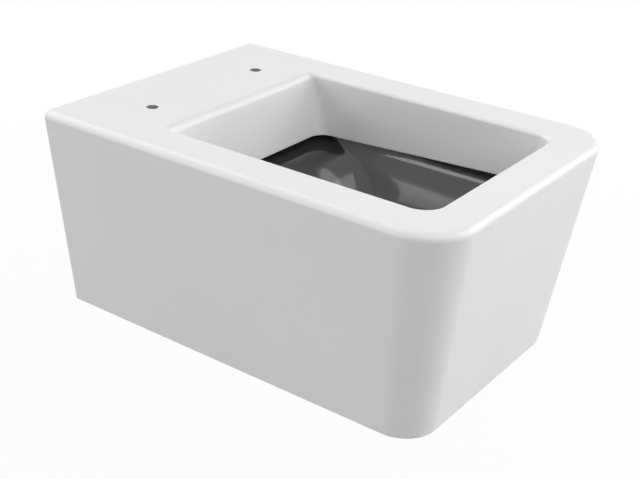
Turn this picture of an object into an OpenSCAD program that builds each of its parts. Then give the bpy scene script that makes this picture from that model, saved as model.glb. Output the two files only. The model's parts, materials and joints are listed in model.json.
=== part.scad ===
// Wall hung toilet pan with concealed wall fixings.
// Origin: midway between the two wall studs on the wall plane. +Z up, front towards -Y.

/* [Pan] */
// width of the pan at the deck
pan_width = 360; // [300:1:420]
// wall plane to the front of the rim
pan_length = 505; // [430:1:620]
// underside to deck
pan_height = 246; // [220:1:380]
// deck height above the wall studs
deck_above_studs = 82; // [75:1:110]
// how far the flanks and the front step in at the underside
flank_taper = 32; // [0:1:50]
// rounding of the two front corners in plan, at the deck
corner_radius = 60; // [40:1:110]
// rounding of the upper outer edge
top_fillet = 8; // [2:0.5:15]
// rounding of the lower outer edge
bottom_fillet = 7; // [2:0.5:15]
// ceramic thickness of the flanks and the front
flank_wall = 10; // [8:0.5:14]
// ceramic thickness of the deck and the rim plate
deck_thickness = 12; // [9:0.5:16]
// ceramic thickness of the underside
floor_thickness = 9; // [7:0.5:14]

/* [Opening] */
// width of the rim beside the opening
rim_side = 52; // [40:1:70]
// wall plane to the rear edge of the opening
opening_rear = 132; // [110:1:180]
// width of the rim in front of the opening
rim_front = 48; // [38:1:70]
// corner rounding at the front of the opening
opening_front_radius = 22; // [6:1:60]
// corner rounding at the rear of the opening
opening_rear_radius = 7; // [3:1:30]
// rounding from the deck into the rear wall of the opening
deck_roll = 11; // [3:0.5:12]
// rounding of the other upper edges of the opening
rim_roll = 7; // [1:0.5:10]
// ceramic thickness of the rim skirt
skirt_wall = 9; // [6:0.5:12]
// depth of the rim skirt at the front
skirt_front_depth = 58.5; // [30:0.5:90]
// depth of the rim skirt at the rear
skirt_rear_depth = 75.5; // [30:0.5:100]
// how far the rear wall of the opening leans forward over its depth
skirt_lean = 15; // [0:0.5:30]

/* [Bowl] */
// ceramic thickness of the bowl
bowl_wall = 8; // [6:0.5:12]
// flush channel between rim skirt and bowl, at the top
rim_channel = 10; // [6:0.5:16]
// shelf break below the lower edge of the rear skirt
shelf_drop = 26.5; // [20:0.5:40]
// how far the shelf is narrower than the rim channel, each side
shelf_inset = 17; // [10:1:30]
// half width of the sump floor
sump_half = 30; // [26:1:50]
// length of the sump floor
sump_length = 75; // [60:1:110]
// gap between the bowl and the underside casting, and between bowl and trap
bowl_gap = 2; // [1:0.5:5]

/* [Trap and outlet] */
// radius of the water way through the trap
trap_bore_r = 21; // [20:0.5:28]
// ceramic thickness of the trap
trap_wall = 6; // [5:0.5:9]
// bend radius of the trap, on its centre line
trap_bend_r = 31; // [28:0.5:45]
// slope of the rising leg
trap_slope = 55; // [40:1:75]
// how far the luted joints of the rising leg stand out
lute = 1; // [0.5:0.1:2]
// gap between the outlet spigot and the floor of the pan
spigot_gap = 4; // [2:0.5:10]
// radius of the outlet spigot
spigot_r = 51; // [45:0.5:56]
// bore radius of the outlet spigot
spigot_bore_r = 43; // [38:0.5:50]
// free length of the outlet spigot
spigot_length = 38; // [30:1:60]
// spigot mouth to the wall plane
spigot_setback = 4; // [2:1:30]

/* [Flush inlet] */
// inlet axis above the studs
inlet_rise = 35; // [30:1:40]
// bore radius of the inlet horn
horn_bore_r = 27.5; // [25:0.5:30]
// ceramic thickness of the inlet horn and the flush chamber
horn_wall = 7; // [5:0.5:9]
// length of the inlet horn
horn_length = 60; // [45:1:80]
// underside of the flush chamber above the studs
chamber_rise = 20; // [10:1:40]
// radius of the flush pipe that the seal takes
flush_pipe_r = 22; // [18:0.5:25]
// length of the inlet seal
seal_length = 44; // [30:1:55]

/* [Wall studs and hinge holes] */
// distance between the wall studs, and between the hinge holes above them
stud_spacing = 180; // [180:50:230]
// diameter of a wall stud
stud_d = 12; // [10:2:12]
// stud hole larger than the stud, in diameter
stud_clearance = 1; // [0.2:0.1:3]
// hinge holes to the wall plane
hinge_from_wall = 75; // [50:1:90]
// diameter of a hinge hole
hinge_hole_d = 13; // [10:0.5:20]
// width across the flats of a stud nut
nut_width = 19; // [16:1:24]
// height of a stud nut
nut_height = 10; // [8:0.5:12]
// thickness of a stud washer
washer_thickness = 2.5; // [1.5:0.5:4]

/* [Concealed fixings] */
// outer width of a holder
holder_width = 34; // [30:1:40]
// steel thickness of a holder's cheeks and front
holder_steel = 4; // [3:0.5:6]
// outer radius of a holder's stud sleeve
sleeve_r = 11; // [9:0.5:13]
// wall plane to a holder's bearing plate front
sleeve_length = 62; // [50:1:75]
// wall plane to a holder's front face
holder_reach = 96; // [90:1:110]
// top of a holder's lower part above the stud axis
holder_shoulder = 12; // [11:0.5:16]
// underside of a holder below the stud axis
holder_skid = 14; // [12:0.5:20]
// underside of a holder's bridge above the stud axis
bridge_rise = 48; // [40:1:60]
// thickness of a holder's bridge
bridge_thickness = 6; // [4:0.5:10]
// thickness of the plastic disc at the wall
disc_thickness = 2; // [1:0.5:4]
// thickness of a rest pad
rest_pad_thickness = 3; // [2:0.5:5]
// radius of a draw screw
screw_r = 5; // [4:0.5:6]
// running clearance of a draw screw in its wedge
screw_clearance = 0.05; // [0.02:0.01:0.1]
// key size of a draw screw
key_size = 8; // [6:1:10]
// height of a draw screw's head
screw_head = 10; // [8:0.5:12]
// how far the head and the clip stand out from the screw
screw_collar = 3; // [2:0.5:4]
// thickness of a screw clip
clip_thickness = 1.3; // [1:0.1:2]
// free gap between a holder and the ceramic web beside it
holder_side_gap = 5; // [3:0.5:8]
// thickness of the ceramic webs beside the holders
web_thickness = 8; // [6:0.5:12]
// height of a wedge
wedge_height = 18; // [14:1:24]
// gap between a tight wedge and the clip above it
wedge_headroom = 4; // [3:0.5:8]
// rise of the lug's face towards the wall for each mm down
lug_slope = 0.185; // [0.1:0.005:0.3]
// thickness of a wedge pad
wedge_pad_thickness = 2; // [1:0.5:3]
// gap from a wedge pad to the ceramic lug
pad_gap = 0.3; // [0.1:0.1:1]
// gap from a wedge to the holder that guides it
guide_gap = 0.1; // [0.05:0.05:0.3]

/* [Hidden] */
$fn = 64;
overcut = 1;
slice = 0.01;

deck_z = deck_above_studs;
under_z = deck_z - pan_height;
rim_under_z = deck_z - deck_thickness;
floor_z = under_z + floor_thickness;
lean = atan(flank_taper / pan_height);
axis_x = pan_width / 2 - corner_radius;
axis_y = -(pan_length - corner_radius);

opening_half = pan_width / 2 - rim_side;
opening_front = pan_length - rim_front;
skirt_rear_z = deck_z - skirt_rear_depth;
skirt_front_z = deck_z - skirt_front_depth;
skirt_half = opening_half + skirt_wall;
skirt_lean_angle = atan(skirt_lean / skirt_rear_depth);
bowl_half = skirt_half + rim_channel;

sump_z = floor_z + bowl_gap + bowl_wall;
shelf_z = skirt_rear_z - shelf_drop;

trap_r = trap_bore_r + trap_wall;
trap_low_z = sump_z + trap_bore_r;
trap_crest_z = skirt_rear_z - bowl_wall - bowl_gap - 0.5 - trap_r;
horn_back_y = -spigot_setback - spigot_length;
fall_y = horn_back_y - trap_r;
crest_y = fall_y - trap_bend_r;
crest_bend_z = trap_crest_z - trap_bend_r;
low_bend_z = trap_low_z + trap_bend_r;
rise_top_y = crest_y - trap_bend_r * sin(trap_slope);
rise_top_z = crest_bend_z + trap_bend_r * cos(trap_slope);
rise_low_z = low_bend_z - trap_bend_r * cos(trap_slope);
rise_length = (rise_top_z - rise_low_z) / sin(trap_slope);
rise_low_y = rise_top_y - rise_length * cos(trap_slope);
low_bend_y = rise_low_y - trap_bend_r * sin(trap_slope);
outlet_z = floor_z + spigot_gap + spigot_r;
outlet_front_y = fall_y - trap_bore_r - trap_wall - 1;
entry_length = 50;
shelf_rear_y = crest_y - trap_bend_r - trap_r - 5;
sump_rear_y = low_bend_y - entry_length + 3.7;

horn_r = horn_bore_r + horn_wall;
seal_r = horn_bore_r - 0.05;

chamber_front_y = -opening_rear + 17;
chamber_z = chamber_rise + horn_wall;

stud_x = stud_spacing / 2;
stud_hole_r = (stud_d + stud_clearance) / 2;
nut_r = nut_width / 2 / cos(30);
screw_y = -hinge_from_wall;
holder_half = holder_width / 2;
cheek_half = holder_half - holder_steel;
front_y = -holder_reach + 2 * holder_steel;
bridge_back_y = -sleeve_length - 2;
head_z = bridge_rise + bridge_thickness;
clip_z = bridge_rise - 0.3 - clip_thickness;
wedge_top_z = bridge_rise - wedge_headroom;
wedge_low_z = wedge_top_z - wedge_height;
screw_end_z = holder_shoulder + 2.5;
lug_z = holder_shoulder + rest_pad_thickness;
lug_foot_y = -sleeve_length + 10;
lug_back_y = lug_foot_y + 8;
web_x = stud_x - holder_half - holder_side_gap - web_thickness / 2;
chamber_half = web_x - web_thickness / 2 - 2;

glaze = [0.94, 0.93, 0.91];
bowl_glaze = [0.42, 0.42, 0.43];
steel = [0.62, 0.64, 0.66];
black_rubber = [0.08, 0.08, 0.08];
white_plastic = [0.88, 0.88, 0.86];

function arc(c, r, from, to, n = 6) =
  [for (i = [0 : n]) c + r * [cos(from + (to - from) * i / n), sin(from + (to - from) * i / n)]];

// distance of the leaning flank from the corner axis at height z
function flank(z, inset) = corner_radius - flank_taper * (deck_z - z) / pan_height - inset / cos(lean);

// half section of the pan from the corner axis outwards
function half_section(inset, low, high, low_r, high_r) = concat(
  [[0, low]],
  low_r > 0
    ? arc([flank(low + low_r, inset) - low_r / cos(lean), low + low_r], low_r, -90, -lean)
    : [[flank(low, inset), low]],
  high_r > 0
    ? arc([flank(high - high_r, inset) - high_r / cos(lean), high - high_r], high_r, -lean, 90)
    : [[flank(high, inset), high]],
  [[0, high]]
);

// the lug's front face at height z
function lug_y(z) = lug_foot_y - (z - lug_z) * lug_slope;

// bowl rows: height, half width, rear, front, corner rounding
bowl_front_y = -opening_front - skirt_wall;
bowl_upper = [
  [rim_under_z, bowl_half, -opening_rear + 20, bowl_front_y - 12, 31],
  [skirt_rear_z + 2.5, bowl_half - 3, chamber_front_y, bowl_front_y - 6, 36],
  [shelf_z, bowl_half - shelf_inset, shelf_rear_y, bowl_front_y + 11, 52]
];

// shares of the way from the sump to the shelf: height, half width, rear, front, then rounding
bowl_shares = [
  [1, 1, 1, 1, 52],
  [0.68, 0.788, 0.6625, 0.803, 60],
  [0.36, 0.442, 0.3625, 0.479, 56],
  [0.136, 0.173, 0.1375, 0.197, 42],
  [0, 0, 0, 0, 28]
];
sump_row = [sump_z, sump_half, sump_rear_y, sump_rear_y - sump_length];
bowl_lower = [
  for (share = bowl_shares)
    concat(
      [for (i = [0 : 3]) sump_row[i] + share[i] * (bowl_upper[2][i] - sump_row[i])],
      [min(share[4], sump_half - 2 + share[1] * (bowl_half - shelf_inset - sump_half))]
    )
];

// profile in Y and Z, drawn along X
module along_x(from, to) {
  translate([from, 0, 0])
    rotate([90, 0, 90])
      linear_extrude(to - from)
        children();
}

module block(from, to) {
  translate(from)
    cube(to - from);
}

module mirrored() {
  children();
  mirror([1, 0, 0])
    children();
}

// body of the pan, inset by a wall, open to the rear up to y = back
module pan_form(inset, low, high, low_r, high_r, back) {
  section = half_section(inset, low, high, low_r, high_r);
  translate([0, back, 0])
    rotate([90, 0, 0])
      linear_extrude(back - axis_y)
        mirrored2d()
          union() {
            translate([axis_x, 0])
              polygon(section);
            translate([0, low])
              square([axis_x, high - low]);
          }
  translate([0, axis_y, 0])
    mirror([0, 1, 0])
      along_x(-axis_x, axis_x)
        polygon(section);
  mirrored()
    translate([axis_x, axis_y, 0])
      rotate([0, 0, -90])
        rotate_extrude(angle = 90)
          polygon(section);
}

module mirrored2d() {
  children();
  mirror([1, 0])
    children();
}

// plan outline between the rear line y = rear and the front line y = front
module plan(half, rear, front, rear_r, front_r) {
  translate([-half, front + front_r])
    square([2 * half, rear - rear_r - front - front_r]);
  translate([-half + front_r, front])
    square([2 * (half - front_r), front_r]);
  translate([-half + rear_r, rear - rear_r])
    square([2 * (half - rear_r), rear_r]);
  mirrored2d() {
    translate([half - front_r, front + front_r])
      circle(front_r);
    translate([half - rear_r, rear - rear_r])
      circle(rear_r);
  }
}

// upright well with the rear wall leaning forward, grown by a wall
module well(grow, low, high) {
  intersection() {
    translate([0, 0, low])
      linear_extrude(high - low)
        plan(opening_half + grow, -opening_rear + 60, -opening_front - grow, 1, opening_front_radius + grow);
    translate([0, -opening_rear, deck_z])
      rotate([-skirt_lean_angle, 0, 0])
        translate([0, 0, -pan_height])
          linear_extrude(2 * pan_height)
            plan(opening_half + grow, grow, -pan_length, opening_rear_radius + grow, 1);
  }
}

// what a rounding of radius r removes from an edge at the deck
module roll_cut(r) {
  polygon(concat(
    [[-overcut, deck_z + overcut], [r, deck_z + overcut]],
    arc([r, deck_z - r], r, 90, 180),
    [[-overcut, deck_z - r]]
  ));
}

module rim_rolls() {
  straight_front = opening_half - opening_front_radius;
  corner_y = -opening_front + opening_front_radius;
  translate([0, -opening_rear, 0])
    along_x(-opening_half, opening_half)
      roll_cut(deck_roll);
  translate([0, -opening_front, 0])
    mirror([0, 1, 0])
      along_x(-straight_front, straight_front)
        roll_cut(rim_roll);
  mirrored() {
    translate([opening_half, -opening_rear, 0])
      rotate([90, 0, 0])
        linear_extrude(-opening_rear - corner_y)
          roll_cut(rim_roll);
    translate([straight_front, corner_y, 0])
      rotate([0, 0, -90])
        rotate_extrude(angle = 90)
          translate([opening_front_radius, 0])
            roll_cut(rim_roll);
  }
}

// wall of the outer casting between two heights and two depths
module outer_wall(low, high, front, rear) {
  intersection() {
    difference() {
      pan_form(0, under_z, deck_z, bottom_fillet, top_fillet, 0);
      pan_form(flank_wall, floor_z, deck_z + overcut, 0, 0, overcut);
    }
    block([-pan_width, front, low], [pan_width, rear, high]);
  }
}

// the two flat flanks behind the rounded front corners
module pan_flanks() {
  color(glaze)
    outer_wall(floor_z, rim_under_z, axis_y, overcut);
}

// front wall with its rounded corners
module pan_front() {
  color(glaze)
    outer_wall(floor_z, rim_under_z, -2 * pan_length, axis_y);
}

// underside with its rounded lower edge and the notch for the drain connector
module pan_floor() {
  color(glaze)
    difference() {
      outer_wall(under_z, floor_z, -2 * pan_length, overcut);
      block(
        [2 - web_x, horn_back_y - 6, under_z - overcut],
        [web_x - 2, overcut, floor_z + overcut]
      );
    }
}

// back web that holds the inlet horn, and the webs beside it
module fixing_webs() {
  half = web_thickness / 2;
  color(glaze)
    difference() {
      union() {
        block([-web_x, -flank_wall, -40], [web_x, 0, rim_under_z]);
        mirrored()
          block([web_x - half, lug_foot_y - 6, -20], [web_x + half, 0, rim_under_z]);
      }
      translate([0, overcut, inlet_rise])
        rotate([90, 0, 0])
          cylinder(h = flank_wall + 2 * overcut, r = horn_r);
    }
}

// lugs from the webs to the flanks, drawn forward by the wedges
module fixing_lugs() {
  color(glaze)
    intersection() {
      mirrored()
        along_x(web_x + web_thickness / 2, pan_width)
          polygon([
            [lug_back_y, lug_z],
            [lug_foot_y, lug_z],
            [lug_y(rim_under_z), rim_under_z],
            [lug_back_y, rim_under_z]
          ]);
      pan_form(flank_wall, floor_z, deck_z + overcut, 0, 0, overcut);
    }
}

// upper plate with the rear deck, the rim and the hinge holes
module rim_deck() {
  color(glaze)
    difference() {
      pan_form(0, under_z, deck_z, bottom_fillet, top_fillet, 0);
      block([-pan_width, -2 * pan_length, under_z - overcut], [pan_width, overcut, rim_under_z]);
      well(0, under_z + 40, deck_z + overcut);
      rim_rolls();
      mirrored()
        translate([stud_x, screw_y, rim_under_z - overcut])
          cylinder(h = deck_thickness + 2 * overcut, d = hinge_hole_d);
    }
}

// skirt that hangs from the rim round the opening
module rim_skirt() {
  color(glaze)
    difference() {
      well(skirt_wall, deck_z - skirt_rear_depth - 5, rim_under_z);
      well(0, under_z + 40, deck_z + overcut);
      along_x(-skirt_half - overcut, skirt_half + overcut)
        polygon([
          [-opening_rear - skirt_lean, skirt_rear_z],
          [-opening_front, skirt_front_z],
          [-pan_length, skirt_front_z + 2],
          [-pan_length, under_z],
          [0, under_z],
          [0, skirt_rear_z - 7]
        ]);
    }
}

// solid through rows of rounded plan outlines, grown by a wall sideways and down
module row_solid(rows, grow) {
  hull()
    for (row = rows) {
      down = min(max((rim_under_z - 20 - row[0]) / 60, 0), 1);
      side = grow * (1 - 0.3 * down);
      radius = row[4] + side;
      x = row[1] + side - radius;
      for (place = [[x, row[2] + side - radius], [x, row[3] - side + radius]])
        mirrored()
          translate([place[0], place[1], row[0] - grow * down - slice])
            cylinder(h = slice, r = radius, $fn = 40);
    }
}

// straight water way along Y at the foot of the trap
module trap_entry(r) {
  translate([0, low_bend_y, trap_low_z])
    rotate([90, 0, 0])
      cylinder(h = entry_length, r = r);
}

module bowl() {
  color(bowl_glaze)
    difference() {
      union() {
        row_solid(bowl_upper, bowl_wall);
        row_solid(bowl_lower, bowl_wall);
      }
      row_solid(bowl_upper, 0);
      row_solid(bowl_lower, 0);
      trap_entry(trap_bore_r);
      block(
        [horn_wall + 1 - chamber_half, chamber_front_y - 20, rim_under_z - 28],
        [chamber_half - horn_wall - 1, chamber_front_y + 20, rim_under_z - 8]
      );
    }
}

// bend of the trap about (y, z), from and to measured from +Y towards +Z
module trap_bend(y, z, from, to, r) {
  translate([0, y, z])
    rotate([90, 0, 90])
      rotate([0, 0, from])
        rotate_extrude(angle = to - from)
          translate([trap_bend_r, 0])
            circle(r);
}

// water way of the trap as a solid of radius r
module trap_way(r) {
  trap_entry(r);
  trap_bend(low_bend_y, low_bend_z, -90, trap_slope - 90, r);
  translate([0, rise_low_y, rise_low_z])
    rotate([trap_slope - 90, 0, 0]) {
      cylinder(h = rise_length, r = r);
      for (joint = [0, rise_length])
        translate([0, 0, joint - 2])
          cylinder(h = 4, r = r + lute);
    }
  trap_bend(crest_y, crest_bend_z, 0, trap_slope + 90, r);
  translate([0, fall_y, outlet_z])
    cylinder(h = crest_bend_z - outlet_z, r = r);
}

module along_y(from, to, r) {
  translate([0, to, 0])
    rotate([90, 0, 0])
      cylinder(h = to - from, r = r);
}

// outside of the outlet horn between the falling leg and the spigot
module horn_body() {
  translate([0, 0, outlet_z])
    along_y(outlet_front_y, horn_back_y, spigot_r - 1);
}

module trapway() {
  color(glaze)
    difference() {
      trap_way(trap_r);
      trap_way(trap_bore_r);
      horn_body();
      row_solid(bowl_lower, bowl_wall);
    }
}

module outlet_horn() {
  color(glaze)
    difference() {
      union() {
        horn_body();
        translate([0, 0, outlet_z])
          along_y(horn_back_y, -spigot_setback, spigot_r);
      }
      translate([0, 0, outlet_z])
        along_y(outlet_front_y + trap_wall, overcut, spigot_bore_r);
      trap_way(trap_bore_r);
    }
}

module flush_duct() {
  color(glaze)
    difference() {
      union() {
        translate([0, 0, inlet_rise])
          along_y(-horn_length, 0, horn_r);
        block(
          [-chamber_half, chamber_front_y, chamber_rise],
          [chamber_half, -horn_length, rim_under_z]
        );
      }
      translate([0, 0, inlet_rise])
        along_y(-horn_length - horn_wall, overcut, horn_bore_r);
      block(
        [horn_wall - chamber_half, chamber_front_y - overcut, chamber_z],
        [chamber_half - horn_wall, -horn_length - horn_wall, rim_under_z - horn_wall]
      );
      row_solid(bowl_upper, bowl_wall);
    }
}

module inlet_seal() {
  rib = 3;
  setback = 3;
  color(black_rubber)
    translate([0, -setback - seal_length, inlet_rise])
      rotate([-90, 0, 0])
        difference() {
          union() {
            cylinder(h = seal_length, r = seal_r - 1.5);
            for (i = [0 : 3])
              translate([0, 0, i * (seal_length - rib) / 3])
                cylinder(h = rib, r = seal_r);
          }
          translate([0, 0, -overcut])
            cylinder(h = seal_length + 2 * overcut, r = flush_pipe_r + 0.25);
        }
}

module holder() {
  difference() {
    union() {
      along_y(-sleeve_length, -disc_thickness, sleeve_r);
      block(
        [-holder_half, -sleeve_length, -holder_skid],
        [holder_half, -sleeve_length + 6, holder_shoulder]
      );
      block(
        [-holder_half, -sleeve_length, holder_shoulder - holder_steel],
        [holder_half, -36, holder_shoulder]
      );
      mirrored() {
        block(
          [cheek_half, -holder_reach, -holder_skid],
          [holder_half, -30, holder_shoulder]
        );
        block(
          [cheek_half, -holder_reach, holder_shoulder - overcut],
          [holder_half, bridge_back_y, head_z]
        );
      }
      block(
        [-holder_half, -holder_reach, lug_z],
        [holder_half, front_y, head_z]
      );
      block(
        [-holder_half, -holder_reach, bridge_rise],
        [holder_half, bridge_back_y, head_z]
      );
    }
    along_y(-sleeve_length - overcut, 0, stud_hole_r);
    translate([0, screw_y, bridge_rise - overcut])
      cylinder(h = bridge_thickness + 2 * overcut, r = screw_r + 0.3);
  }
}

module rest_pad() {
  block(
    [-holder_half, lug_foot_y, holder_shoulder],
    [holder_half, lug_back_y, lug_z]
  );
}

module draw_screw() {
  translate([0, screw_y, 0])
    difference() {
      union() {
        translate([0, 0, screw_end_z])
          cylinder(h = head_z - screw_end_z, r = screw_r);
        translate([0, 0, head_z])
          cylinder(h = screw_head, r = screw_r + screw_collar);
      }
      translate([0, 0, head_z + screw_head - 6])
        cylinder(h = 6 + overcut, d = key_size / cos(30), $fn = 6);
    }
}

module screw_clip() {
  translate([0, screw_y, clip_z])
    difference() {
      cylinder(h = clip_thickness, r = screw_r + screw_collar);
      translate([0, 0, -overcut])
        cylinder(h = clip_thickness + 2 * overcut, r = screw_r);
    }
}

module wedge() {
  back = -pad_gap - wedge_pad_thickness;
  half = cheek_half - guide_gap;
  difference() {
    along_x(-half, half)
      polygon([
        [front_y + guide_gap, wedge_low_z],
        [lug_y(wedge_low_z) + back, wedge_low_z],
        [lug_y(wedge_top_z) + back, wedge_top_z],
        [front_y + guide_gap, wedge_top_z]
      ]);
    translate([0, screw_y, wedge_low_z - overcut])
      cylinder(h = wedge_height + 2 * overcut, r = screw_r + screw_clearance);
  }
}

module wedge_pad() {
  half = cheek_half - 2;
  along_x(-half, half)
    polygon([
      [lug_y(wedge_low_z) - pad_gap - wedge_pad_thickness, wedge_low_z],
      [lug_y(wedge_low_z) - pad_gap, wedge_low_z],
      [lug_y(wedge_top_z) - pad_gap, wedge_top_z],
      [lug_y(wedge_top_z) - pad_gap - wedge_pad_thickness, wedge_top_z]
    ]);
}

module ring_on_stud(from, to, r) {
  difference() {
    along_y(from, to, r);
    along_y(from - overcut, to + overcut, stud_hole_r);
  }
}

module stud_nut() {
  front = -sleeve_length - washer_thickness - nut_height;
  difference() {
    translate([0, front + nut_height, 0])
      rotate([90, 0, 0])
        cylinder(h = nut_height, r = nut_r, $fn = 6);
    along_y(front - overcut, front + nut_height + overcut, stud_d / 2);
  }
}

module at_stud(side) {
  translate([side * stud_x, 0, 0])
    children();
}

module at_studs() {
  at_stud(-1)
    children();
  at_stud(1)
    children();
}

pan_flanks();
pan_front();
pan_floor();
fixing_webs();
fixing_lugs();
rim_deck();
rim_skirt();
bowl();
trapway();
outlet_horn();
flush_duct();
inlet_seal();
color(steel) at_stud(-1) holder();  // holder_left
color(steel) at_stud(1) holder();  // holder_right
color(white_plastic) at_studs() ring_on_stud(-disc_thickness, 0, sleeve_r + 5);  // wall_discs
color(steel) at_studs() ring_on_stud(-sleeve_length - washer_thickness, -sleeve_length, sleeve_r + 1);  // stud_washers
color(steel) at_studs() stud_nut();  // stud_nuts
color(white_plastic) at_stud(-1) rest_pad();  // rest_pad_left
color(white_plastic) at_stud(1) rest_pad();  // rest_pad_right
color(steel) at_stud(-1) draw_screw();  // draw_screw_left
color(steel) at_stud(1) draw_screw();  // draw_screw_right
color(steel) at_stud(-1) screw_clip();  // screw_clip_left
color(steel) at_stud(1) screw_clip();  // screw_clip_right
color(steel) at_stud(-1) wedge();  // wedge_left
color(steel) at_stud(1) wedge();  // wedge_right
color(black_rubber) at_stud(-1) wedge_pad();  // wedge_pad_left
color(black_rubber) at_stud(1) wedge_pad();  // wedge_pad_right
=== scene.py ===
import json
import math

import bmesh
import bpy
from mathutils import Matrix, Vector
from mathutils.geometry import delaunay_2d_cdt


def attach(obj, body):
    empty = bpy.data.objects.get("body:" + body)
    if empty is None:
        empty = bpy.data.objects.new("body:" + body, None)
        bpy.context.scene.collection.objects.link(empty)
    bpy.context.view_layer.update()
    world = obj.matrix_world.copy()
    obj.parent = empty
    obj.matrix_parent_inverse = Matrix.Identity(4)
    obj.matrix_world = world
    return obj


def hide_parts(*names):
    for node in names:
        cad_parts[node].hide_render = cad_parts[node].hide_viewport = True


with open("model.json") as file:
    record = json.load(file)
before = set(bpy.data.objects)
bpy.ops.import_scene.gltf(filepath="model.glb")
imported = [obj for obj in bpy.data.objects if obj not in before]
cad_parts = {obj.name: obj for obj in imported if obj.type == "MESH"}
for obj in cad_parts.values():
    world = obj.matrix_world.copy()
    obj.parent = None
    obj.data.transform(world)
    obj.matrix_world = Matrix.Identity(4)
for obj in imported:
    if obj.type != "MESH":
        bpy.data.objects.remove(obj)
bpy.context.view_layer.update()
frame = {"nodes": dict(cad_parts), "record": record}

# The visible skin of a wall hung toilet pan: the outer casting, its fixing webs and the bowl are
# built here, the other pieces are the CAD solids with new materials.
# Sizes are in millimetres and the frame is the CAD model's: z = 0 at the wall studs, y = 0 on the
# wall, -y towards the front. Lamps, camera and materials are in metres.

MM = 0.001

# ---------------------------------------------------------------- sizes of the pan
# heights of the deck, the underside, and the inner faces of the deck and of the floor
DECK, UNDER, RIM_UNDER, FLOOR = 82.0, -164.0, 70.0, -155.0
HEIGHT = DECK - UNDER
# axis of the two front corners, and the distance from it to the flank at deck height
AXIS_X, AXIS_Y, CORNER = 120.0, -445.0, 60.0
# how far the flanks and the front step in at the underside
TAPER = 32.0
LEAN = math.atan(TAPER / HEIGHT)
# rounding of the front corners in plan, at the deck and at the underside
ROUND_TOP, ROUND_LOW = 52.0, 40.0
WALL = 10.0
# roundings of the lower and the upper edge, outside and inside the casting
EDGE_LOW, EDGE_TOP, INNER_LOW, INNER_TOP = 7.0, 8.0, 4.0, 5.0
# keeps the skin's facets within the CAD solids
SKIN_INSET = 0.07

# ---------------------------------------------------------------- sizes of the opening
HALF, REAR, FRONT = 128.0, -132.0, -457.0
FRONT_CORNER = 22.0
# rear corners of the opening: their rounding at the deck and at the skirt's lower edge
REAR_CORNER_TOP, REAR_CORNER_LOW = 7.0, 16.0
# roll from the deck into the opening, and what it gains at the rear wall
ROLL, ROLL_GAIN = 5.0, 6.0
# skirt: wall, heights of its lower edge at the rear and the front, and its rear wall's lean
SKIRT_WALL, SKIRT_REAR, SKIRT_FRONT, SKIRT_LEAN = 9.0, 6.5, 23.5, 15.0
# where the lower edge starts to rise, the roundings of its lip and of its root under the deck
SKIRT_RISE_Y, LIP, ROOT = -147.0, 1.6, 3.0

# hinge holes: places, then radius, countersink and lower edge rounding
HOLES = [(-90.0, -75.0), (90.0, -75.0)]
HOLE_R, HOLE_SINK, HOLE_FOOT = 6.5, 1.2, 0.6
HOLE_POINTS = 48
# notch in the underside for the drain connector: half width, depth and corner rounding
NOTCH_HALF, NOTCH_DEPTH, NOTCH_R = 60.0, 48.0, 6.0

# ---------------------------------------------------------------- sizes of the webs and the bowl
# clearance between the webs and the casting, and how far they reach into the deck
WEB_GAP, WEB_TOP = 0.2, RIM_UNDER + 0.6
BACK_WEB_HALF, BACK_WEB_FOOT, BACK_WEB_DEPTH = 67.5, -40.0, 10.0
HORN_HEIGHT, HORN_R = 35.0, 34.5
SIDE_WEB = (60.0, 68.0)
SIDE_WEB_FRONT, SIDE_WEB_BACK, SIDE_WEB_FOOT = -58.0, -10.5, -20.0
# lugs: foot height, back, front at the foot, slope of the front, outer end
LUG_FOOT, LUG_BACK, LUG_FRONT, LUG_SLOPE, LUG_END = 15.0, -44.0, -52.0, 0.185, 166.0
WEB_BEVEL = 1.6

# rows of the bowl: height, half width, rear, front and corner rounding
BOWL_ROWS = [
    (70, 147, -112, -478, 31),
    (9, 144, -115, -472, 36),
    (-20, 130, -163, -455, 52),
    (-60, 108.8, -190, -428, 60),
    (-100, 74.2, -214, -383.6, 56),
    (-128, 47.3, -232, -345, 42),
    (-145, 30, -243, -318, 28),
]
BOWL_TOP, BOWL_FLOOR = BOWL_ROWS[0][0], BOWL_ROWS[-1][0]
BOWL_WALL, BOWL_STEPS = 8.0, 48
# rings that close the sump: how far each shrinks, and how far it lies below the last row
SUMP_RINGS = ((2.5, 1.6), (7.0, 3.2), (14.0, 4.6), (22.0, 5.2))
# throat to the trapway: centre height, radius, and the two ends of the bore
THROAT_Z, THROAT_R, THROAT_ENDS = -124, 21, (-262, -190)
# slot in the bowl's rear wall for the flush duct
FLUSH_SLOT = ((-50, -150, 42), (50, -95, 62))

CASTING = ("pan_flanks", "pan_front", "pan_floor", "rim_deck", "rim_skirt")


def arc(cx, cy, r, start, end, n):
    """Points of an arc in degrees, both ends included."""
    out = []
    for i in range(n + 1):
        a = math.radians(start + (end - start) * i / n)
        out.append((cx + r * math.cos(a), cy + r * math.sin(a)))
    return out


def smooth(t):
    t = min(max(t, 0.0), 1.0)
    return t * t * (3 - 2 * t)


# ---------------------------------------------------------------- camera and lamps
def make_camera():
    """The photograph's own view."""
    data = bpy.data.cameras.new("camera")
    cam = bpy.data.objects.new("camera", data)
    bpy.context.scene.collection.objects.link(cam)
    data.sensor_width = 36.0
    data.lens = 66.212
    data.clip_start, data.clip_end = 0.05, 60.0
    right = Vector((0.590051, -0.806463, 0.038184))
    up = Vector((0.332294, 0.285683, 0.898869))
    back = Vector((-0.735813, -0.517690, 0.436550))
    matrix = Matrix((right, up, back)).transposed().to_4x4()
    matrix.translation = Vector((-0.98409, -0.93719, 0.52371))
    cam.matrix_world = matrix
    bpy.context.scene.camera = cam


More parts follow.
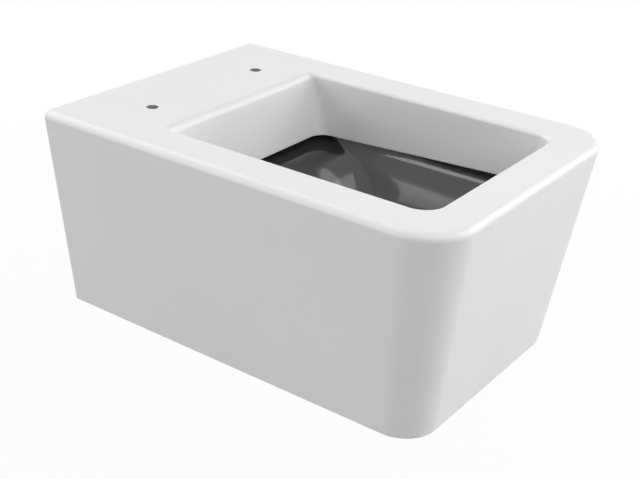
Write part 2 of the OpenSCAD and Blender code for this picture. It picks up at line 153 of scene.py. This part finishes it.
# name, place, width and height, power
LAMPS = [
    ("right_front", (2.56, -2.57, 1.31), (3.2, 3.2), 77),
    ("front_high", (0, -2.0, 1.6), (2.0, 2.0), 17),
    ("left_high", (-1.3, -1.5, 1.6), (2.0, 2.0), 16.5),
    ("left_low", (-3.2, 1.91, 0.59), (1.9, 1.9), 26),
    ("rear", (-0.96, 3.67, 1.47), (3.2, 3.2), 85),
    ("rear_high", (0, 2.39, 2.75), (3.2, 3.2), 46),
    ("strip", (-2.97, 1.41, 1.42), (4.0, 0.24), 3.8),
]
LAMP_TARGET = (0, -0.25, -0.05)


def make_lamp(name, place, size, energy):
    data = bpy.data.lights.new(name, "AREA")
    data.shape = "RECTANGLE"
    data.size, data.size_y = size
    data.energy = energy
    lamp = bpy.data.objects.new(name, data)
    bpy.context.scene.collection.objects.link(lamp)
    lamp.location = place
    lamp.rotation_mode = "QUATERNION"
    lamp.rotation_quaternion = (Vector(LAMP_TARGET) - Vector(place)).to_track_quat("-Z", "Y")


# ---------------------------------------------------------------- stage
FLOOR_SIZE, FLOOR_Z = 30.0, -0.318
# the floor shows as white beyond the second distance, and keeps a trace of shadow within the first
WHITE_FROM, WHITE_TO, WHITE_NEAR = 0.35, 1.3, 0.965
AIR_STRENGTH = 0.04


def seen_directly(tree):
    """1 for camera, glossy and transmission rays, which see the white surroundings."""
    ray = tree.nodes.new("ShaderNodeLightPath")
    value = ray.outputs["Is Camera Ray"]
    for kind in ("Is Glossy Ray", "Is Transmission Ray"):
        either = tree.nodes.new("ShaderNodeMath")
        either.operation = "MAXIMUM"
        tree.links.new(value, either.inputs[0])
        tree.links.new(ray.outputs[kind], either.inputs[1])
        value = either.outputs[0]
    return value


class Paint:
    """A small helper that builds a procedural material."""

    def __init__(self, name, **sockets):
        self.material = bpy.data.materials.new(name)
        self.material.use_nodes = True
        self.tree = self.material.node_tree
        self.shader = self.tree.nodes["Principled BSDF"]
        for key, value in sockets.items():
            self.shader.inputs[key.replace("_", " ")].default_value = value
        self.place = self.node("TexCoord").outputs["Object"]

    def node(self, kind, **values):
        made = self.tree.nodes.new("ShaderNode" + kind)
        for key, value in values.items():
            name = key.replace("_", " ")
            if name in made.inputs:
                made.inputs[name].default_value = value
            else:
                setattr(made, key, value)
        return made

    def link(self, a, b):
        self.tree.links.new(a, b)

    def noise(self, scale, detail=4.0, stretch=None):
        source = self.place
        if stretch:
            mapping = self.node("Mapping")
            mapping.inputs["Scale"].default_value = stretch
            self.link(source, mapping.inputs["Vector"])
            source = mapping.outputs["Vector"]
        made = self.node("TexNoise", Scale=scale, Detail=detail, Roughness=0.5)
        self.link(source, made.inputs["Vector"])
        return made.outputs["Fac"]

    def colour(self, value, *stops):
        """Base colour from a value by stops of (value, colour)."""
        made = self.node("ValToRGB")
        for element, (at, colour) in zip(made.color_ramp.elements, stops):
            element.position = at
            element.color = (*colour, 1)
        self.link(value, made.inputs["Fac"])
        self.link(made.outputs["Color"], self.shader.inputs["Base Color"])

    def rough(self, value, low, high):
        """Roughness between two levels, over the middle of a noise."""
        made = self.node("MapRange")
        made.inputs["From Min"].default_value = 0.3
        made.inputs["From Max"].default_value = 0.7
        made.inputs["To Min"].default_value = low
        made.inputs["To Max"].default_value = high
        self.link(value, made.inputs["Value"])
        self.link(made.outputs["Result"], self.shader.inputs["Roughness"])

    def bump(self, *layers):
        """Layers of (height, strength, distance in metres), the coarsest first."""
        normal = None
        for height, strength, distance in layers:
            made = self.node("Bump", Strength=strength, Distance=distance)
            self.link(height, made.inputs["Height"])
            if normal is not None:
                self.link(normal, made.inputs["Normal"])
            normal = made.outputs["Normal"]
        self.link(normal, self.shader.inputs["Normal"])


def floor_paint():
    """Pale grey under the lamps, white where it is seen, with the object's shadow kept."""
    paint = Paint("studio_floor", Roughness=0.9, Specular_IOR_Level=0.1)
    paint.colour(paint.noise(6.0, 3.0), (0.3, (0.43, 0.43, 0.43)), (0.7, (0.46, 0.46, 0.46)))
    glow = paint.node("Emission", Color=(1, 1, 1, 1), Strength=1.0)
    away = paint.node("VectorMath", operation="LENGTH")
    paint.link(paint.place, away.inputs[0])
    reach = paint.node("MapRange", interpolation_type="SMOOTHSTEP")
    reach.inputs["From Min"].default_value = WHITE_FROM
    reach.inputs["From Max"].default_value = WHITE_TO
    reach.inputs["To Min"].default_value = WHITE_NEAR
    reach.inputs["To Max"].default_value = 1.0
    paint.link(away.outputs["Value"], reach.inputs["Value"])
    share = paint.node("Math", operation="MULTIPLY")
    paint.link(seen_directly(paint.tree), share.inputs[0])
    paint.link(reach.outputs["Result"], share.inputs[1])
    mixed = paint.node("MixShader")
    paint.link(share.outputs[0], mixed.inputs[0])
    paint.link(paint.shader.outputs[0], mixed.inputs[1])
    paint.link(glow.outputs[0], mixed.inputs[2])
    paint.link(mixed.outputs[0], paint.tree.nodes["Material Output"].inputs["Surface"])
    return paint.material


def make_stage():
    me = bpy.data.meshes.new("floor")
    s, z = FLOOR_SIZE, FLOOR_Z
    me.from_pydata([(-s, -s, z), (s, -s, z), (s, s, z), (-s, s, z)], [], [(0, 1, 2, 3)])
    floor = bpy.data.objects.new("floor", me)
    bpy.context.scene.collection.objects.link(floor)
    floor.data.materials.append(floor_paint())

    world = bpy.data.worlds.new("studio")
    bpy.context.scene.world = world
    world.use_nodes = True
    tree = world.node_tree
    tree.nodes.clear()
    out = tree.nodes.new("ShaderNodeOutputWorld")
    mixed = tree.nodes.new("ShaderNodeMixShader")
    tree.links.new(seen_directly(tree), mixed.inputs[0])
    for socket, strength in ((1, AIR_STRENGTH), (2, 1.0)):
        air = tree.nodes.new("ShaderNodeBackground")
        air.inputs["Color"].default_value = (1, 1, 1, 1)
        air.inputs["Strength"].default_value = strength
        tree.links.new(air.outputs[0], mixed.inputs[socket])
    tree.links.new(mixed.outputs[0], out.inputs["Surface"])

    for lamp in LAMPS:
        make_lamp(*lamp)
    bpy.context.scene.view_settings.view_transform = "Standard"


# ---------------------------------------------------------------- mesh helpers
def ring(bm, points):
    return [bm.verts.new(p) for p in points]


def strip(bm, rings, closed):
    """Quads between rows of vertices."""
    for low, high in zip(rings, rings[1:]):
        n = len(low)
        for i in range(n if closed else n - 1):
            j = (i + 1) % n
            face = [low[i], low[j], high[j], high[i]]
            if len(set(face)) > 2:
                bm.faces.new(face)


def inside(poly, p):
    hit = False
    n = len(poly)
    for i in range(n):
        a, b = poly[i], poly[(i + 1) % n]
        if (a.y > p.y) != (b.y > p.y):
            if p.x < a.x + (p.y - a.y) / (b.y - a.y) * (b.x - a.x):
                hit = not hit
    return hit


def cap(bm, loops, u, v):
    """Flat face with holes from loops of vertices: the outline first, then the holes."""
    verts = [vert for loop in loops for vert in loop]
    flat = [Vector((vert.co[u], vert.co[v])) for vert in verts]
    edges, polys, start = [], [], 0
    for loop in loops:
        n = len(loop)
        edges += [(start + i, start + (i + 1) % n) for i in range(n)]
        polys.append(flat[start:start + n])
        start += n
    made = delaunay_2d_cdt(flat, edges, [], 1, 1e-6)
    for tri in made[2]:
        centre = sum((made[0][i] for i in tri), Vector((0, 0))) / len(tri)
        if inside(polys[0], centre) and not any(inside(p, centre) for p in polys[1:]):
            bm.faces.new([verts[made[3][i][0]] for i in tri])


def bake(obj):
    """Applies an object's modifiers to its mesh."""
    dg = bpy.context.evaluated_depsgraph_get()
    baked = bpy.data.meshes.new_from_object(obj.evaluated_get(dg))
    obj.modifiers.clear()
    obj.data = baked


def shade(obj, sharp, weight=50):
    """Smooth shading with edges sharper than the angle kept."""
    obj.data.shade_smooth()
    obj.data.set_sharp_from_angle(angle=math.radians(sharp))
    weighted = obj.modifiers.new("weighted", "WEIGHTED_NORMAL")
    weighted.keep_sharp = True
    weighted.weight = weight


def mesh_object(bm, name):
    """Turns millimetres into metres and makes an object."""
    bmesh.ops.scale(bm, vec=(MM, MM, MM), verts=bm.verts)
    bmesh.ops.recalc_face_normals(bm, faces=bm.faces)
    me = bpy.data.meshes.new(name)
    bm.to_mesh(me)
    bm.free()
    obj = bpy.data.objects.new(name, me)
    bpy.context.scene.collection.objects.link(obj)
    return obj


def finish_piece(bm, name, material, replaced, bevel=0.0):
    """Closes the mesh and makes it a piece of the pan in place of some CAD nodes."""
    bmesh.ops.remove_doubles(bm, verts=bm.verts, dist=1e-4)
    obj = mesh_object(bm, name)
    obj.data.materials.append(material)
    if bevel:
        mod = obj.modifiers.new("bevel", "BEVEL")
        mod.width, mod.segments = bevel * MM, 3
        mod.limit_method, mod.angle_limit = "ANGLE", math.radians(50)
        bake(obj)
    shade(obj, 35.0)
    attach(obj, "pan")
    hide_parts(*replaced)
    return obj


# ---------------------------------------------------------------- outer casting
def flank(z, inset=0.0):
    """Distance of the leaning flank from the corner axis at height z."""
    return CORNER - TAPER * (DECK - z) / HEIGHT - inset / math.cos(LEAN)


def leaning_profile(inset, low, high, low_r, high_r, n):
    """Rows of (distance from the corner axis, height) from the underside to the top."""
    lean = math.degrees(LEAN)
    low_x = flank(low + low_r, inset) - low_r / math.cos(LEAN)
    high_x = flank(high - high_r, inset) - high_r / math.cos(LEAN)
    out = arc(low_x, low + low_r, low_r, -90, -lean, n)
    start, end = out[-1][1], high - high_r - high_r * math.sin(LEAN)
    steps = 12
    for i in range(1, steps):
        z = start + (end - start) * i / steps
        out.append((flank(z, inset), z))
    return out + arc(high_x, high - high_r, high_r, -lean, 90, n)


def corner_shift(z):
    """How far the corner's centre lies outside the axis, so the rounding stays nearly even."""
    return flank(z) - ROUND_LOW - (ROUND_TOP - ROUND_LOW) * (z - UNDER) / HEIGHT


def u_path(shift):
    """Base points and outward directions round the pan, from rear right to rear left."""
    ax, ay = AXIS_X + shift, AXIS_Y - shift
    side, turn, across = 14, 24, 10
    out = [((ax, ay * i / side), (1.0, 0.0)) for i in range(side)]
    for i in range(turn):
        a = math.radians(-90 * i / turn)
        out.append(((ax, ay), (math.cos(a), math.sin(a))))
    out += [((ax - 2 * ax * i / across, ay), (0.0, -1.0)) for i in range(across)]
    for i in range(turn):
        a = math.radians(-90 - 90 * i / turn)
        out.append(((-ax, ay), (math.cos(a), math.sin(a))))
    out += [((-ax, ay - ay * i / side), (-1.0, 0.0)) for i in range(side + 1)]
    return out


def casting_rows(bm, profile):
    """Sweeps a profile round the pan."""
    rows = []
    for d, z in profile:
        shift = corner_shift(z)
        reach = d - shift
        rows.append(ring(bm, [(b[0] + n[0] * reach, b[1] + n[1] * reach, z)
                              for b, n in u_path(shift)]))
    return rows


def opening_path(rear_r, rear):
    """Points, outward directions and how much they belong to the rear wall, round the opening."""
    out = []

    def corner(cx, cy, r, start, end, n):
        for (x, y) in arc(cx, cy, r, start, end, n)[:-1]:
            nx, ny = (x - cx) / r, (y - cy) / r
            share = smooth(math.asin(min(max(ny, 0.0), 1.0)) / (math.pi / 2))
            out.append((x, y, nx, ny, share))

    def line(x0, y0, x1, y1, nx, ny, n):
        for i in range(n):
            t = i / n
            share = 1.0 if ny > 0.5 else 0.0
            out.append((x0 + (x1 - x0) * t, y0 + (y1 - y0) * t, nx, ny, share))

    rf = FRONT_CORNER
    line(HALF, FRONT + rf, HALF, rear - rear_r, 1, 0, 16)
    corner(HALF - rear_r, rear - rear_r, rear_r, 0, 90, 14)
    line(HALF - rear_r, rear, -HALF + rear_r, rear, 0, 1, 14)
    corner(-HALF + rear_r, rear - rear_r, rear_r, 90, 180, 14)
    line(-HALF, rear - rear_r, -HALF, FRONT + rf, -1, 0, 16)
    corner(-HALF + rf, FRONT + rf, rf, 180, 270, 12)
    line(-HALF + rf, FRONT, HALF - rf, FRONT, 0, -1, 12)
    corner(HALF - rf, FRONT + rf, rf, 270, 360, 12)
    return out


def skirt_foot(y):
    """Height of the skirt's lower edge, which rises towards the front."""
    t = (SKIRT_RISE_Y - y) / (SKIRT_RISE_Y - FRONT)
    return SKIRT_REAR + (SKIRT_FRONT - SKIRT_REAR) * min(max(t, 0.0), 1.05)


def skirt_rows():
    """Rows of points from the deck round the rim roll, down the skirt and up behind it."""
    lean = math.atan(SKIRT_LEAN / (DECK - SKIRT_REAR))
    top_r, low_r = REAR_CORNER_TOP, REAR_CORNER_LOW

    def roll_r(w):
        return ROLL + ROLL_GAIN * w

    def roll_end(w):
        return DECK - roll_r(w) * (1 - math.sin(lean * w))

    def row(rear_z, rear_r, out, height):
        path = opening_path(rear_r, REAR - (DECK - rear_z) * math.tan(lean))
        return [(x + nx * out, y + ny * out, height(y, w)) for x, y, nx, ny, w in path]

    rows = []
    roll_steps, down_steps, up_steps = 8, 10, 5
    for k in range(roll_steps + 1):
        made = []
        for x, y, nx, ny, w in opening_path(top_r, REAR):
            a, r = lean * w, roll_r(w)
            b = math.pi / 2 + (math.pi / 2 - a) * k / roll_steps
            out = r * (1 - math.sin(a)) / math.cos(a) + r * math.cos(b)
            made.append((x + nx * out, y + ny * out, DECK - r + r * math.sin(b)))
        rows.append(made)
    for k in range(1, down_steps + 1):
        t = k / down_steps
        rear_z = roll_end(1.0) + (SKIRT_REAR + LIP - roll_end(1.0)) * t
        rows.append(row(rear_z, top_r + (low_r - top_r) * t, 0.0,
                        lambda y, w: roll_end(w) + (skirt_foot(y) + LIP - roll_end(w)) * t))
    lip = arc(LIP, 0, LIP, 180, 270, 5)[1:] + arc(SKIRT_WALL - LIP, 0, LIP, 270, 360, 5)
    for dx, dz in lip:
        rows.append(row(SKIRT_REAR + LIP, low_r, dx, lambda y, w: skirt_foot(y) + LIP + dz))
    top = RIM_UNDER - ROOT
    for k in range(1, up_steps + 1):
        t = k / up_steps
        rear_z = SKIRT_REAR + LIP + (top - SKIRT_REAR - LIP) * t
        rows.append(row(rear_z, low_r + (top_r - low_r) * t, SKIRT_WALL,
                        lambda y, w: skirt_foot(y) + LIP + (top - skirt_foot(y) - LIP) * t))
    for dx, dz in arc(ROOT, 0, ROOT, 180, 90, 4)[1:]:
        rows.append(row(top, top_r, SKIRT_WALL + dx, lambda y, w: top + dz))
    return rows


def make_hole(bm, hx, hy):
    """A hinge hole with a glazed countersink and an unglazed bore that is painted mid grey as
    painted shade inside the hole. Gives its upper and lower edge.
    """
    deck_depth = DECK - RIM_UNDER
    sink = arc(HOLE_R + HOLE_SINK, -HOLE_SINK, HOLE_SINK, 90, 180, 4)
    foot = arc(HOLE_R + HOLE_FOOT, HOLE_FOOT - deck_depth, HOLE_FOOT, 180, 270, 2)
    loops = []
    for r, dz in sink + foot:
        turns = [math.tau * i / HOLE_POINTS for i in range(HOLE_POINTS)]
        loops.append(ring(bm, [(hx + r * math.cos(a), hy + r * math.sin(a), DECK + dz)
                               for a in turns]))
    strip(bm, loops[:3], True)
    glazed = set(bm.faces)
    strip(bm, loops[2:], True)
    for face in set(bm.faces) - glazed:
        face.material_index = 1
    return loops[0], loops[-1]


def make_pan_skin(material, bare_shaded):
    """Flanks, front, floor, deck and skirt of the casting as one closed shell."""
    bm = bmesh.new()
    outer = casting_rows(bm, leaning_profile(SKIN_INSET, UNDER, DECK, EDGE_LOW, EDGE_TOP, 12))
    inner = casting_rows(bm, leaning_profile(WALL, FLOOR, RIM_UNDER, INNER_LOW, INNER_TOP, 6))
    strip(bm, outer, False)
    strip(bm, inner, False)
    skirt = [ring(bm, row) for row in skirt_rows()]
    strip(bm, skirt, True)

    holes = [make_hole(bm, hx, hy) for hx, hy in HOLES]
    cap(bm, [outer[-1], skirt[0]] + [upper for upper, lower in holes], 0, 1)
    cap(bm, [inner[-1], skirt[-1]] + [lower for upper, lower in holes], 0, 1)

    x, y = NOTCH_HALF - NOTCH_R, NOTCH_R - NOTCH_DEPTH
    notch = [(NOTCH_HALF, 0.0)] + arc(x, y, NOTCH_R, 0, -90, 6)
    notch += arc(-x, y, NOTCH_R, -90, -180, 6) + [(-NOTCH_HALF, 0.0)]
    low = ring(bm, [(x, y, UNDER) for x, y in notch])
    high = ring(bm, [(x, y, FLOOR) for x, y in notch])
    strip(bm, [low, high], False)
    cap(bm, [outer[0] + list(reversed(low))], 0, 1)
    cap(bm, [inner[0] + list(reversed(high))], 0, 1)

    # the narrow rear edge that stands against the wall
    right_out, left_out = [r[0] for r in outer], [r[-1] for r in outer]
    right_in, left_in = [r[0] for r in inner], [r[-1] for r in inner]
    outline = [low[0]] + right_out + list(reversed(left_out)) + [low[-1], high[-1]]
    outline += left_in + list(reversed(right_in)) + [high[0]]
    cap(bm, [outline], 0, 2)
    skin = finish_piece(bm, "pan_skin", material, CASTING)
    skin.data.materials.append(bare_shaded)


def slab(bm, outline, holes, axis, start, end):
    """A flat plate with holes, drawn in the two axes beside the given one."""
    u, v = [a for a in (0, 1, 2) if a != axis]
    sides = []
    for at in (start, end):
        loops = []
        for loop in [outline, *holes]:
            made = []
            for a, b in loop:
                co = [0.0, 0.0, 0.0]
                co[axis], co[u], co[v] = at, a, b
                made.append(bm.verts.new(co))
            loops.append(made)
        cap(bm, loops, u, v)
        sides.append(loops)
    for near, far in zip(*sides):
        strip(bm, [near, far], True)


def rectangle(left, right, low, high):
    return [(left, low), (right, low), (right, high), (left, high)]


def make_webs(material):
    """Back web with the inlet hole, side webs, and the lugs between them and the flanks."""
    bm = bmesh.new()
    hole = arc(0, HORN_HEIGHT, HORN_R, 0, 360, 64)[:-1]
    back = rectangle(-BACK_WEB_HALF, BACK_WEB_HALF, BACK_WEB_FOOT, WEB_TOP)
    slab(bm, back, [hole], 1, -BACK_WEB_DEPTH, -WEB_GAP)
    web = rectangle(SIDE_WEB_FRONT, SIDE_WEB_BACK, SIDE_WEB_FOOT, WEB_TOP)
    lug_top = LUG_FRONT - (WEB_TOP - LUG_FOOT) * LUG_SLOPE
    lug = [(LUG_BACK, LUG_FOOT), (LUG_FRONT, LUG_FOOT), (lug_top, WEB_TOP), (LUG_BACK, WEB_TOP)]
    for side in (-1, 1):
        slab(bm, web, [], 0, side * SIDE_WEB[0], side * SIDE_WEB[1])
        slab(bm, lug, [], 0, side * (SIDE_WEB[1] + WEB_GAP), side * LUG_END)
    finish_piece(bm, "web_skin", material, ("fixing_webs", "fixing_lugs"), WEB_BEVEL)


# ---------------------------------------------------------------- bowl
def smooth_rows(z):
    """The bowl's half width, rear, front and rounding at a height, without kinks between rows."""
    rows = BOWL_ROWS
    heights = [r[0] for r in rows]
    z = min(max(z, heights[-1]), heights[0])
    k = next(i for i in range(len(rows) - 1) if heights[i + 1] <= z)
    h = [heights[i] - heights[i + 1] for i in range(len(rows) - 1)]
    out = []
    for c in range(1, 5):
        v = [r[c] for r in rows]
        d = [(v[i] - v[i + 1]) / h[i] for i in range(len(rows) - 1)]
        slope = [d[0]]
        for i in range(1, len(rows) - 1):
            a, b = d[i - 1], d[i]
            slope.append(0.0 if a * b <= 0 else 2 * a * b / (a + b))
        slope.append(d[-1])
        t = (heights[k] - z) / h[k]
        m0, m1 = -slope[k] * h[k], -slope[k + 1] * h[k]
        out.append((2 * t**3 - 3 * t**2 + 1) * v[k] + (t**3 - 2 * t**2 + t) * m0
                   + (3 * t**2 - 2 * t**3) * v[k + 1] + (t**3 - t**2) * m1)
    return out


def bowl_ring(bm, half, rear, front, r, z):
    """A rounded rectangle, from its rear right corner leftwards."""
    turn, side = 14, 10
    right, left = half - r, -half + r
    back, fore = rear - r, front + r
    # centre of each corner, first angle, and the two ends of the straight side after it
    corners = [
        ((right, back), 0, (right, rear), (left, rear)),
        ((left, back), 90, (-half, back), (-half, fore)),
        ((left, fore), 180, (left, front), (right, front)),
        ((right, fore), 270, (half, fore), (half, back)),
    ]
    pts = []
    for (cx, cy), start, near, far in corners:
        for i in range(turn):
            a = math.radians(start + 90 * i / turn)
            pts.append((cx + r * math.cos(a), cy + r * math.sin(a), z))
        for i in range(side):
            t = i / side
            pts.append((near[0] + (far[0] - near[0]) * t, near[1] + (far[1] - near[1]) * t, z))
    return ring(bm, pts)


def make_bowl(material):
    """The bowl's inner and outer face, joined along the top, then cut for throat and flush."""
    bm = bmesh.new()
    tops = []
    for grow in (0.0, BOWL_WALL):
        rows = []
        for k in range(BOWL_STEPS + 1):
            t = k / BOWL_STEPS
            fall = 0.5 * t + 0.5 * math.sin(t * math.pi / 2)
            z = BOWL_TOP - 0.05 - (BOWL_TOP - BOWL_FLOOR) * fall
            half, rear, front, r = smooth_rows(z)
            # lower down the wall's thickness is measured more and more downwards
            down = min(max((50 - z) / 60, 0), 1)
            side = grow * (1 - 0.3 * down)
            rows.append(bowl_ring(bm, half + side, rear + side, front - side, r + side,
                                  z - grow * down))
        half, rear, front, r = smooth_rows(BOWL_FLOOR)
        side = grow * 0.7
        for shrink, drop in SUMP_RINGS:
            rows.append(bowl_ring(bm, half + side - shrink, rear + side - shrink,
                                  front - side + shrink, max(r + side - shrink, 4.0),
                                  BOWL_FLOOR - grow - drop * 0.35))
        strip(bm, rows, True)
        cap(bm, [rows[-1]], 0, 1)
        tops.append(rows[0])
    strip(bm, tops, True)
    bowl = finish_piece(bm, "bowl_skin", material, ("bowl",))
    cut(bowl, [rod(THROAT_ENDS, THROAT_Z, THROAT_R), box_cutter(*FLUSH_SLOT)])


def cut(obj, cutters):
    """Cuts helper meshes out of a piece and removes them."""
    obj.modifiers.clear()
    for bm in cutters:
        tool = mesh_object(bm, "cutter")
        mod = obj.modifiers.new("cut", "BOOLEAN")
        mod.operation, mod.solver, mod.object = "DIFFERENCE", "EXACT", tool
        bake(obj)
        bpy.data.objects.remove(tool)
    shade(obj, 40)


def prism(ends):
    bm = bmesh.new()
    rings = [ring(bm, points) for points in ends]
    strip(bm, rings, True)
    for end in rings:
        bm.faces.new(end)
    return bm


def rod(ends, z, r, n=64):
    """A round cutter along Y."""
    turns = [math.tau * i / n for i in range(n)]
    return prism([[(r * math.cos(a), y, z + r * math.sin(a)) for a in turns] for y in ends])


def box_cutter(low, high):
    outline = rectangle(low[0], high[0], low[1], high[1])
    return prism([[(x, y, z) for x, y in outline] for z in (low[2], high[2])])


# ---------------------------------------------------------------- materials
def glaze_paint():
    paint = Paint("white_glaze", Roughness=0.34, IOR=1.5, Coat_Weight=0.2, Coat_Roughness=0.2)
    tone = paint.noise(7.0, 3.0)
    paint.colour(tone, (0.30, (0.87, 0.872, 0.872)), (0.70, (0.895, 0.895, 0.893)))
    paint.rough(paint.noise(26.0, 3.0), 0.31, 0.38)
    paint.bump((paint.noise(34.0, 2.0), 0.25, 0.0009), (paint.noise(420.0, 2.0), 0.12, 0.00012))
    return paint.material


def bare_shaded_paint():
    paint = Paint("bare_ceramic_painted_shade", Roughness=0.8, IOR=1.5)
    grain = paint.noise(300.0)
    # The bore is really unglazed and rough; its mid grey colour is painted shade for the dark
    # inside of the hole.
    paint.colour(grain, (0.30, (0.29, 0.29, 0.285)), (0.70, (0.37, 0.37, 0.365)))
    paint.rough(grain, 0.7, 0.9)
    paint.bump((grain, 0.4, 0.0002))
    return paint.material


def bowl_shade_paint():
    paint = Paint("bowl_painted_shade_glaze", Roughness=0.12, IOR=1.5, Coat_Weight=0.7, Coat_Roughness=0.04)
    tone = paint.noise(9.0, 3.0)
    # Near-black grey base colour: painted shade for the shadowed inside of the bowl, whose glaze
    # is really white.
    paint.colour(tone, (0.30, (0.034, 0.034, 0.035)), (0.70, (0.046, 0.046, 0.047)))
    paint.rough(paint.noise(24.0, 3.0), 0.10, 0.15)
    paint.bump((paint.noise(30.0, 2.0), 0.3, 0.0012), (paint.noise(380.0, 2.0), 0.12, 0.00014))
    return paint.material


def steel_paint():
    paint = Paint("bracket_paint", Roughness=0.5, IOR=1.48)
    tone = paint.noise(60.0, 5.0)
    paint.colour(tone, (0.25, (0.30, 0.31, 0.33)), (0.75, (0.37, 0.38, 0.40)))
    paint.rough(paint.noise(90.0), 0.42, 0.6)
    paint.bump((paint.noise(700.0, 2.0), 0.25, 0.0002))
    return paint.material


def plated_paint():
    paint = Paint("zinc_plate", Roughness=0.3, Metallic=1.0)
    streaks = paint.noise(40.0, stretch=(1, 1, 14))
    paint.colour(streaks, (0.3, (0.62, 0.62, 0.60)), (0.7, (0.78, 0.78, 0.74)))
    paint.rough(streaks, 0.24, 0.42)
    paint.bump((streaks, 0.15, 0.00015))
    return paint.material


def zinc_paint():
    paint = Paint("cast_zinc", Roughness=0.45, Metallic=1.0)
    grain = paint.noise(260.0, 5.0)
    paint.colour(grain, (0.3, (0.52, 0.53, 0.54)), (0.7, (0.66, 0.67, 0.68)))
    paint.rough(grain, 0.38, 0.58)
    paint.bump((grain, 0.35, 0.0002))
    return paint.material


def plastic_paint():
    paint = Paint("moulded_plastic", Roughness=0.45, IOR=1.46)
    grain = paint.noise(500.0, 3.0)
    paint.colour(grain, (0.3, (0.74, 0.74, 0.72)), (0.7, (0.80, 0.80, 0.78)))
    paint.rough(grain, 0.4, 0.55)
    paint.bump((grain, 0.2, 0.0001))
    return paint.material


def rubber_paint():
    paint = Paint("black_rubber", Roughness=0.7, IOR=1.5)
    grain = paint.noise(320.0)
    paint.colour(grain, (0.3, (0.012, 0.012, 0.012)), (0.7, (0.028, 0.028, 0.029)))
    paint.rough(grain, 0.6, 0.8)
    paint.bump((grain, 0.3, 0.00015))
    return paint.material


# ---------------------------------------------------------------- scene
make_camera()
make_stage()

paints = {
    "glaze": glaze_paint(),
    "bowl_glaze": bowl_shade_paint(),
    "bracket_steel": steel_paint(),
    "plated_steel": plated_paint(),
    "cast_zinc": zinc_paint(),
    "plastic": plastic_paint(),
    "rubber": rubber_paint(),
}
for part in frame["record"]["subparts"]:
    mesh = frame["nodes"][part["node"]].data
    mesh.materials.clear()
    mesh.materials.append(paints[part["material_slot"]])

make_pan_skin(paints["glaze"], bare_shaded_paint())
make_webs(paints["glaze"])
# The bowl gets a near-black grey glaze: painted shade for its shadowed inside.
make_bowl(paints["bowl_glaze"])
